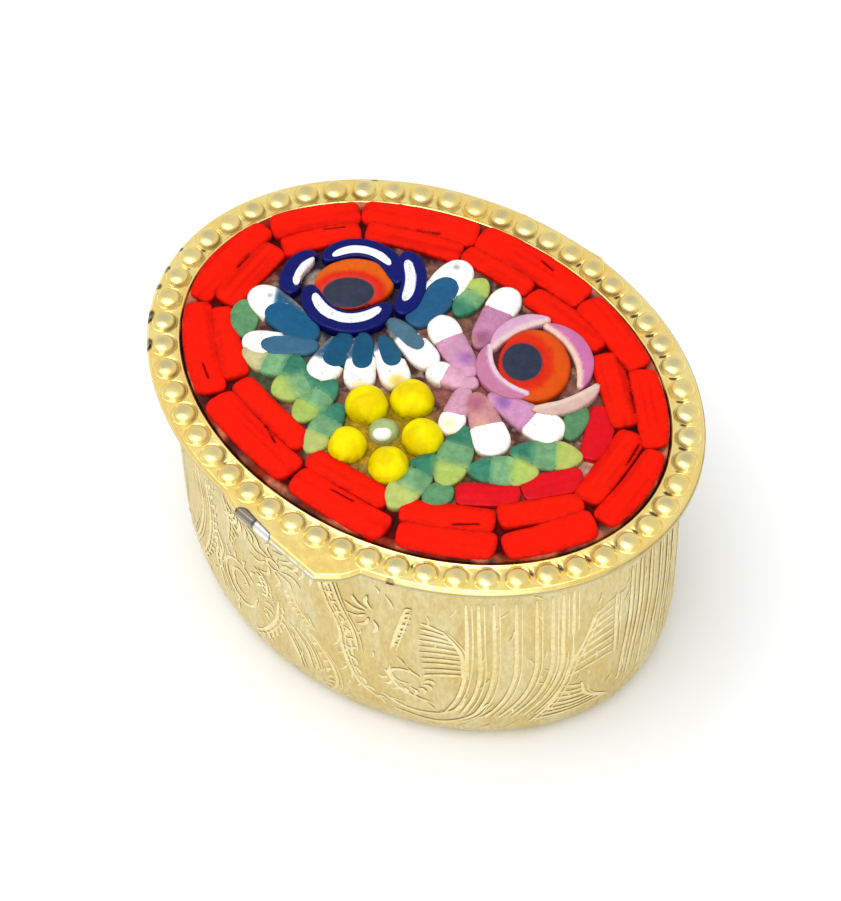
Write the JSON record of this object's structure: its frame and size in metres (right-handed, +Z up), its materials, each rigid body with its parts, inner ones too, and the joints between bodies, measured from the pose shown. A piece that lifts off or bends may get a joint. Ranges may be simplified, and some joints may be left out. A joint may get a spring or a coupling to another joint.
{
  "type": "pill box",
  "caption": "Oval gilt pill box with an engraved deep cup and a hinged lid whose beaded frame holds a glass mosaic of two flowers, with a thumb tab in front.",
  "frame": {"origin": "centre of the cup's flat base, on the surface it stands on", "axes": "+X along the oval's long axis, +Z up, -Y to the front with the thumb tab, +Y to the hinge"},
  "size_m": [0.044, 0.0359, 0.025],
  "materials": {
    "satin_gilt": "satin gilt with a matte grain and fine engraved lines",
    "bright_gilt": "bright gilt",
    "polished_gilt": "polished gilt, worn to grey metal in places on the rim",
    "inner_gilt": "plain gilt",
    "tray_brass": "unpolished",
    "cement": "rough pink-brown mosaic cement",
    "border_red": "opaque glass, fire-polished",
    "crimson_glass": "opaque glass, fire-polished",
    "slate_glass": "opaque glass, fire-polished",
    "vermilion_glass": "opaque glass, fire-polished",
    "orange_glass": "opaque glass, fire-polished",
    "navy_glass": "opaque glass, fire-polished",
    "white_glass": "opaque glass, fire-polished",
    "steel_blue_glass": "opaque glass, fire-polished",
    "pink_glass": "opaque glass, fire-polished",
    "lilac_glass": "opaque glass, fire-polished",
    "yellow_glass": "opaque glass, fire-polished",
    "pale_green_glass": "opaque glass, fire-polished",
    "yellow_green_glass": "opaque glass, fire-polished",
    "green_glass": "opaque glass, fire-polished",
    "teal_glass": "opaque glass, fire-polished"
  },
  "bodies": {
    "box": {"cup_shell": "satin_gilt", "mouth_ring": "bright_gilt", "cup_hinge_leaf": "bright_gilt", "hinge_pin": "bright_gilt"},
    "lid": {"lid_frame": "polished_gilt", "lid_hinge_leaf": "bright_gilt", "lid_inner_plate": "inner_gilt", "lid_skirt": "inner_gilt", "catch_rib": "inner_gilt", "mosaic_tray": "tray_brass", "cement_bed": "cement", "border_outer_bars": "border_red", "border_inner_bars": "border_red", "crimson_bars": "crimson_glass", "blue_eye_core": "slate_glass", "blue_eye_red_ring": "vermilion_glass", "blue_eye_orange_ring": "orange_glass", "navy_crescents": "navy_glass", "navy_crescent_cores": "white_glass", "blue_petal_cores": "steel_blue_glass", "blue_petal_rims": "white_glass", "pink_eye_core": "slate_glass", "pink_eye_red_ring": "vermilion_glass", "pink_eye_orange_ring": "orange_glass", "pink_crescents": "pink_glass", "lilac_petals": "lilac_glass", "lilac_petal_tips": "white_glass", "yellow_beads": "yellow_glass", "centre_bead": "pale_green_glass", "centre_dot": "white_glass", "leaf_light_bands": "yellow_green_glass", "leaf_green_bands": "green_glass", "leaf_teal_bands": "teal_glass", "small_leaves": "green_glass"}
  },
  "joints": [
    {"name": "lid_hinge", "type": "hinge", "parent": "box", "child": "lid", "pos_m": [0, 0.0168, 0.0214], "axis": [-1, 0, 0], "range_deg": [0, 100]}
  ]
}
